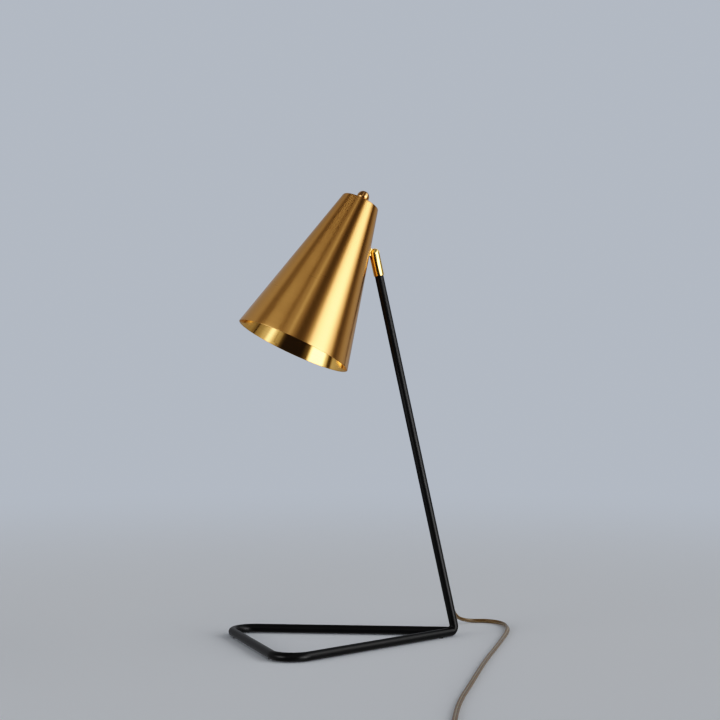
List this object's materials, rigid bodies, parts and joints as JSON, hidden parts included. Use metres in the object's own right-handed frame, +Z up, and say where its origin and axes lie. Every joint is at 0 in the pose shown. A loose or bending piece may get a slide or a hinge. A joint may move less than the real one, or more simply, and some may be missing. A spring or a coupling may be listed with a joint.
{
  "type": "desk lamp",
  "caption": "Desk lamp with a conical brushed-brass shade on a slotted tilt knuckle, a leaning black tube stem, a bent-rod triangle base, and a flat cord with an inline switch and plug.",
  "frame": {"origin": "on the surface the lamp stands on, under the middle of the lamp's length and width", "axes": "+Z up; -X the way the shade points, away from the heel of the base; the lamp's plane of symmetry is y = 0"},
  "size_m": [0.3424, 0.7306, 0.5133],
  "materials": {
    "black_coat": "semi-matte black powder coat with a fine grain",
    "brushed_brass": "satin brass brushed round the cone, polished inside",
    "polished_brass": "polished gold-coloured brass",
    "dark_bronze": "dark polished bronze",
    "zinc_steel": "bright zinc-plated steel",
    "nickel_cap": "nickel-plated",
    "black_plastic": "smooth black phenolic plastic",
    "black_gloss": "glossy black plastic",
    "brown_plastic": "dark brown moulded plastic",
    "white_ceramic": "white glazed porcelain",
    "lead_sleeve": "black insulated lead",
    "opal_glass": "opal white glass",
    "clear_gold_pvc": "soft clear-gold plastic over copper strands",
    "pad_rubber": "black rubber"
  },
  "bodies": {
    "base": {"base_loop": "black_coat", "foot_pads": "pad_rubber", "stem_tube": "black_coat", "stem_nipple": "zinc_steel", "stem_lead": "lead_sleeve", "knuckle_fork": "polished_brass", "pivot_screw": "polished_brass", "cord_relief": "clear_gold_pvc", "cord_run": "clear_gold_pvc", "cord_link": "clear_gold_pvc", "cord_coil": "clear_gold_pvc", "cord_tail": "clear_gold_pvc", "switch_base": "brown_plastic", "switch_cover": "brown_plastic", "switch_screws": "zinc_steel", "switch_axle": "zinc_steel", "switch_contacts": "polished_brass", "plug_body": "clear_gold_pvc", "plug_pins": "nickel_cap"},
    "head": {"knuckle_tongue": "polished_brass", "stud_washer": "black_plastic", "stud_nut": "polished_brass", "shade": "brushed_brass", "shade_top_nut": "zinc_steel", "shade_nipple": "zinc_steel", "ball_finial": "dark_bronze", "lampholder_cap": "black_plastic", "lampholder_block": "white_ceramic", "lampholder_skirt": "black_plastic", "lampholder_thread_sleeve": "polished_brass", "lampholder_contact": "polished_brass", "head_lead": "lead_sleeve", "bulb_glass": "opal_glass", "bulb_screw_cap": "nickel_cap", "bulb_tip_contact": "nickel_cap"},
    "rocker": {"switch_rocker": "black_gloss"}
  },
  "joints": [
    {"name": "shade_tilt", "type": "hinge", "parent": "base", "child": "head", "pos_m": [0.0268, 0, 0.44229], "axis": [0, 1, 0], "range_deg": [-20, 80]},
    {"name": "switch_rocker_tilt", "type": "hinge", "parent": "base", "child": "rocker", "pos_m": [-0.0058, -0.53342, 0.0125], "axis": [0.3355, 0.9421, 0], "range_deg": [0, 14]}
  ]
}
